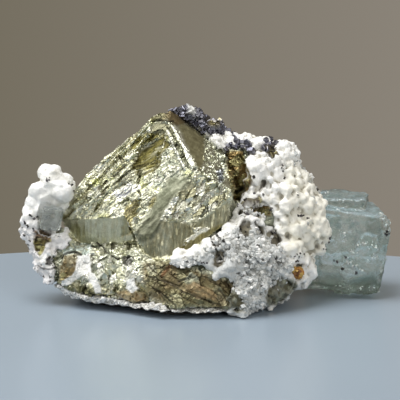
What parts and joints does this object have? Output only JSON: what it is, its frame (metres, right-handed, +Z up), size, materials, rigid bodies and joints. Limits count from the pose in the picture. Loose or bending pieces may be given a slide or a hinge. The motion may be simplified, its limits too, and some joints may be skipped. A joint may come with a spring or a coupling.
{
  "type": "fluorite and pyrite mineral specimen",
  "caption": "Free-standing mineral cluster: a faceted brassy crystal in white lumpy dolomite, with galena cubes on its ridge and a pale green fluorite at one end.",
  "frame": {"origin": "centre of the bounding box's bottom, on the plane that the specimen rests on", "axes": "+X along its length towards the pale green fluorite, +Y away from the viewer of the picture, +Z up"},
  "size_m": [0.1115, 0.0522, 0.0579],
  "materials": {
    "pyrite": "metallic pale brass with olive tarnish, smooth striated faces and granular broken parts",
    "galena": "dark blue-grey metallic cubes",
    "dolomite_crust": "matt white to cream lumps with fine drusy grain and dark specks",
    "dolomite_knob": "matt white round lumps",
    "dolomite_base": "matt grey-white crust",
    "fluorite_crystal": "pale blue-green, cloudy translucent",
    "fluorite_small": "grey, cloudy translucent",
    "sphalerite_grain": "resinous orange-brown"
  },
  "bodies": {
    "root": {"pyrite": "pyrite", "galena": "galena", "dolomite_crust": "dolomite_crust", "dolomite_knob": "dolomite_knob", "dolomite_base": "dolomite_base", "fluorite_crystal": "fluorite_crystal", "fluorite_small": "fluorite_small", "sphalerite_grain": "sphalerite_grain"}
  },
  "joints": []
}
